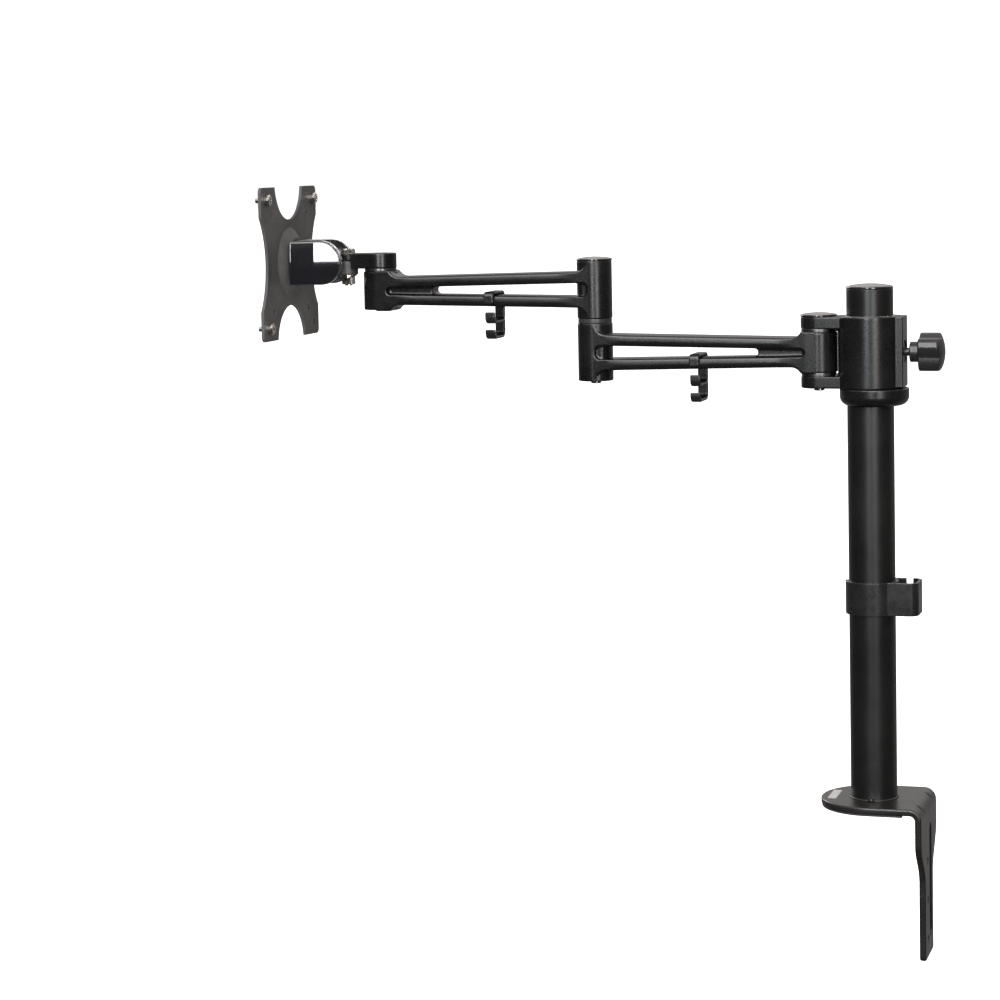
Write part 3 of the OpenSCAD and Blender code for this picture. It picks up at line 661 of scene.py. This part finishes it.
def knob(x, y, z):
    """The clamp knob: a hub and four soft lobes under a domed end."""
    z = z - ARM_Z
    lobe_at, lobe_r, quarter = 8.9, 6.3, math.pi / 2
    hub = prism(circle(x, z, 7.7), y, 30.2, 39, 0.7)
    a = np.arctan2(z, x) + math.radians(17)
    r = hypot3(x, z)
    turn = (a + quarter / 2) % quarter - quarter / 2
    u, v = r * np.cos(turn), r * np.sin(turn)
    du, dv = lobe_at * math.cos(quarter / 2), lobe_at * math.sin(quarter / 2)
    lobes = np.minimum(circle(u - du, v + dv, lobe_r), circle(u - du, v - dv, lobe_r))
    head = join(lobes, r - 11.0, 3.0)
    dome = np.sqrt(x * x + z * z + (y - 25.1) ** 2) - 31
    head = both(both(head, dome, 1.0), 37.1 - y, 1.2)
    return cut(np.minimum(hub, head), both(circle(x, z, 3), y - 44.2, 0.1), 0.2)


cast("knob_moulding", "lock_knob", knob, (-15.4, 30.2, 329.6), (15.4, 56.2, 360.4), 0.55)


def cap(name, node, cx, cy, z0, r, rim, rise, plug, depth):
    """A shallow domed cap with a skirt that pushes into the hole under it."""
    ball = (r * r + rise * rise) / (2 * rise)

    def shape(x, y, z):
        across = hypot3(x - cx, y - cy)
        height = z - (z0 + rim + rise - ball)
        top = both(both(across - r, hypot3(across, height) - ball, 0.7), z0 - z, 0.25)
        skirt = both(slab(across, *plug), slab(z, z0 - depth, z0 + 0.5), 0.2)
        return np.minimum(top, skirt)

    cast(name, node, shape, (cx - r, cy - r, z0 - depth), (cx + r, cy + r, z0 + rim + rise), 0.45)


cap("pole_cap_moulding", "pole_cap", 0, 0, 392.5, POLE_R, 1.8, 2.0, (13, 15), 12)
cap("clevis_cap_moulding", "clevis_cap", 0, CLEVIS_Y, SLEEVE_TOP, 13.9, 1.4, 1.4, (-1, 7.1), 0.9)
cap("middle_cap_moulding", "middle_cap", 0, MID_Y, 415.5, 13.9, 1.4, 1.4, (-1, 7.1), 0.9)


def clip_profile(x, z, bar_t):
    """Outline of a cable clip in x and z: a hook over the bar and two open hooks below."""
    low, reach, half_t = -bar_t / 2 - 0.5, 14.0, 1.1

    def frame_of(x0, x1, z0, z1, r):
        cx, cz = (x0 + x1) / 2, (z0 + z1) / 2
        qx = np.abs(x - cx) - (x1 - x0) / 2 + r
        qz = np.abs(z - cz) - (z1 - z0) / 2 + r
        d = hypot3(np.maximum(qx, 0), np.maximum(qz, 0)) + np.minimum(np.maximum(qx, qz), 0) - r
        return np.abs(d) - half_t

    over = frame_of(-reach - half_t, reach + half_t, low - 30, -low + half_t, 3.0)
    keep = np.where(x > 0, low + 3 - z, low - z)
    shape = both(over, keep, 0.5)
    for i, lip in ((0, 9.0), (1, 7.5)):
        floor = low - 13 - 12 * i + half_t
        hook = frame_of(-reach - half_t, 11.6, floor, floor + 40, 4.2)
        top = np.where(x < -8, z - floor - 13.4, z - floor + half_t - lip)
        shape = np.minimum(shape, both(hook, top, 0.6))
    return shape


CLIP_Y = 81  # the bar clips' distance from the middle pivot


def bar_clip(name, node, mid_z, sign):
    outer, inner = bars_half(CLIP_Y), gap_half(CLIP_Y)
    cy, cz, bar_t = MID_Y + sign * CLIP_Y, mid_z - (outer + inner) / 2, outer - inner

    def shape(x, y, z):
        return both(clip_profile(x, z - cz, bar_t), np.abs(y - cy) - 4, 1.05)

    cast(name, node, shape, (-15.5, cy - 4, cz - 34), (15.5, cy + 4, cz + 8.5), 0.6)


bar_clip("inner_clip_moulding", "inner_cable_clip", ARM_Z, 1)
bar_clip("outer_clip_moulding", "outer_cable_clip", OUTER_Z, -1)


def cover(x, y, z):
    """The glossy cover over one leg of the yoke: a D that flares out towards the plate."""
    up, bend_y = z - TILT_Z, -435.5
    side = np.where(y > TILT_Y, hypot3(y - TILT_Y, up), np.abs(up)) - 17.1
    side = both(side, COVER_END - y, 0.3)
    lean = np.where(y > bend_y, 0.21, 0.32)
    outside = 19.6 - lean * (y - bend_y) - 0.0036 * up**2
    body = both(side, (x - outside) * 0.97, 1.6)
    body = np.maximum(body, 15.05 - x)
    return cut(body, both(circle(y - TILT_Y, up, 5.8), x - 16.95, 0.1), 0.2)


COVER_END = -454.5
cast("yoke_cover_right_moulding", "yoke_cover_right", cover,
     (15.0, COVER_END, 398.8), (25.8, -414.6, 433.2), 0.5)
cast("yoke_cover_left_moulding", "yoke_cover_left", lambda x, y, z: cover(-x, y, z),
     (-25.8, COVER_END, 398.8), (-15.0, -414.6, 433.2), 0.5)


# The few CAD nodes that are shown themselves, such as the bushes, take the same materials.
for node, obj in NODES.items():
    obj.data.materials.clear()
    obj.data.materials.append(MATS[SLOT_OF[node]])


# ---------- stage, lights and camera ----------


def area(name, place, target, size, power, tint=(1.0, 1.0, 1.0)):
    """A softbox of a size in metres and a power in watts, aimed at target and itself unseen."""
    data = bpy.data.lights.new(name, "AREA")
    data.shape = "RECTANGLE"
    data.size, data.size_y = size
    data.energy = power
    data.color = tint
    obj = bpy.data.objects.new(name, data)
    bpy.context.scene.collection.objects.link(obj)
    obj.location = place
    obj.rotation_euler = (Vector(target) - Vector(place)).to_track_quat("-Z", "Y").to_euler()
    obj.visible_camera = False


area("softbox_left", (3.9, -0.13, 1.385), (0, -0.13, 0.42), (0.78, 2.2), 100.0, (0.95, 0.97, 1.0))
area("softbox_right", (3.2, 1.66, 1.0), (0, 0, 0.35), (1.0, 2.0), 56.0, (1.0, 0.95, 0.92))
area("back_light", (-2.7, -2.9, 1.7), (0, -0.2, 0.3), (1.5, 2.2), 42.0)
area("top_light", (1.5, -0.2, 2.0), (0, -0.2, 0.35), (1.9, 1.3), 48.0)


def studio_world():
    """White to the camera; to other rays a soft fade from dark to light upwards, lighter behind."""
    world = bpy.data.worlds.new("studio")
    bpy.context.scene.world = world
    world.use_nodes = True
    n = Tree(world.node_tree)
    n.tree.nodes.clear()
    split = n.add("ShaderNodeSeparateXYZ")
    n.link(n.add("ShaderNodeTexCoord").outputs["Generated"], split.inputs[0])
    soft = {"interpolation_type": "SMOOTHSTEP"}
    upwards = n.map_range(split.outputs["Z"], 0.06, 0.4, 0.05, 0.75, **soft)
    behind = n.map_range(split.outputs["X"], -0.1, -0.95, 0.0, 0.22, **soft)
    around = n.add("ShaderNodeBackground", {"Color": (1.0, 0.96, 0.94, 1.0)})
    n.link(n.add_up(upwards, behind), around.inputs["Strength"])
    shown = n.add("ShaderNodeBackground", {"Color": (1.0, 1.0, 1.0, 1.0), "Strength": 1.05})
    mix = n.add("ShaderNodeMixShader")
    n.link(n.add("ShaderNodeLightPath").outputs["Is Camera Ray"], mix.inputs["Fac"])
    n.link(around.outputs[0], mix.inputs[1])
    n.link(shown.outputs[0], mix.inputs[2])
    n.link(mix.outputs[0], n.add("ShaderNodeOutputWorld").inputs["Surface"])


studio_world()


def floor_plane():
    """A large pale floor under the lowest point, fading into the white surroundings."""
    gap, s = 0.5 * MM, 30.0
    z = cad_box[0].z - gap
    mesh = bpy.data.meshes.new("floor")
    mesh.from_pydata([(-s, -s, z), (s, -s, z), (s, s, z), (-s, s, z)], [], [(0, 1, 2, 3)])
    obj = bpy.data.objects.new("floor", mesh)
    bpy.context.scene.collection.objects.link(obj)
    n = Material("floor")
    b = n.bsdf.inputs
    b["Base Color"].default_value = (0.85, 0.85, 0.85, 1.0)
    b["Roughness"].default_value = 0.9
    b["Emission Color"].default_value = (1.0, 1.0, 1.0, 1.0)
    seen = n.add("ShaderNodeLightPath").outputs["Is Camera Ray"]
    n.link(n.map_range(seen, 0.0, 1.0, 0.3, 0.9), b["Emission Strength"])
    mesh.materials.append(n.mat)
    obj.visible_glossy = False


floor_plane()

# The camera that was fitted to the photograph; focal length and picture width are in pixels.
CAMERA_AT = (2.076, 0.346, 0.499)
YAW, PITCH, ROLL = math.radians(-162.948), math.radians(5.053), math.radians(-1.2)
FOCAL_PX, WIDTH_PX = 2792.1, 1000
SENSOR_MM = 36.0


def place_camera():
    data = bpy.data.cameras.new("camera")
    camera = bpy.data.objects.new("camera", data)
    bpy.context.scene.collection.objects.link(camera)
    bpy.context.scene.camera = camera
    flat = math.cos(PITCH)
    look = Vector((math.cos(YAW) * flat, math.sin(YAW) * flat, -math.sin(PITCH)))
    level = Vector((math.sin(YAW), -math.cos(YAW), 0.0))
    upright = level.cross(look)
    right = level * math.cos(ROLL) + upright * math.sin(ROLL)
    up = -level * math.sin(ROLL) + upright * math.cos(ROLL)
    turned = Matrix((right, up, -look)).transposed()
    camera.matrix_world = Matrix.Translation(CAMERA_AT) @ turned.to_4x4()
    data.sensor_width = SENSOR_MM
    data.lens = FOCAL_PX / WIDTH_PX * SENSOR_MM
    data.shift_y = -0.1
    data.clip_start, data.clip_end = 0.05, 100.0


place_camera()

scene = bpy.context.scene
scene.view_settings.view_transform = "Standard"
scene.view_settings.look = "None"
scene.view_settings.exposure = 0.0
